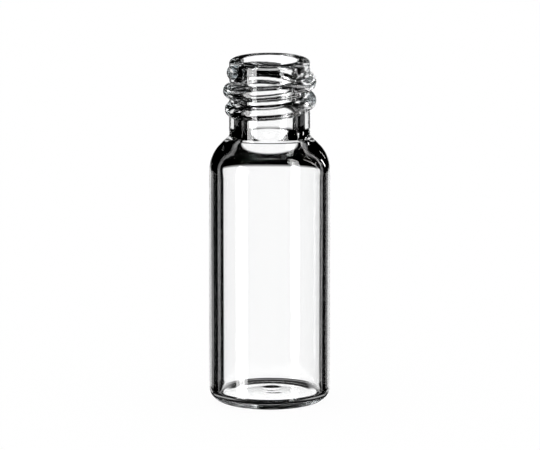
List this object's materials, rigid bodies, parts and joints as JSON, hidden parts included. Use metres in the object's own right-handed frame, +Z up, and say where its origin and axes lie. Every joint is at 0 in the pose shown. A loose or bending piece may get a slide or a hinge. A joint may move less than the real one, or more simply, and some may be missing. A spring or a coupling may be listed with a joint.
{
  "type": "glass sample vial",
  "caption": "Clear glass sample vial with a cylindrical body, rounded shoulder and open screw neck, standing on a flat base ring.",
  "frame": {"origin": "centre of the face that the vial stands on", "axes": "+Z up the axis towards the mouth; the upper end of the thread lies towards -X"},
  "size_m": [0.0116, 0.0116, 0.0332],
  "materials": {
    "glass": "clear, smooth, fire-polished at the rim"
  },
  "bodies": {
    "root": {"vial": "glass"}
  },
  "joints": []
}
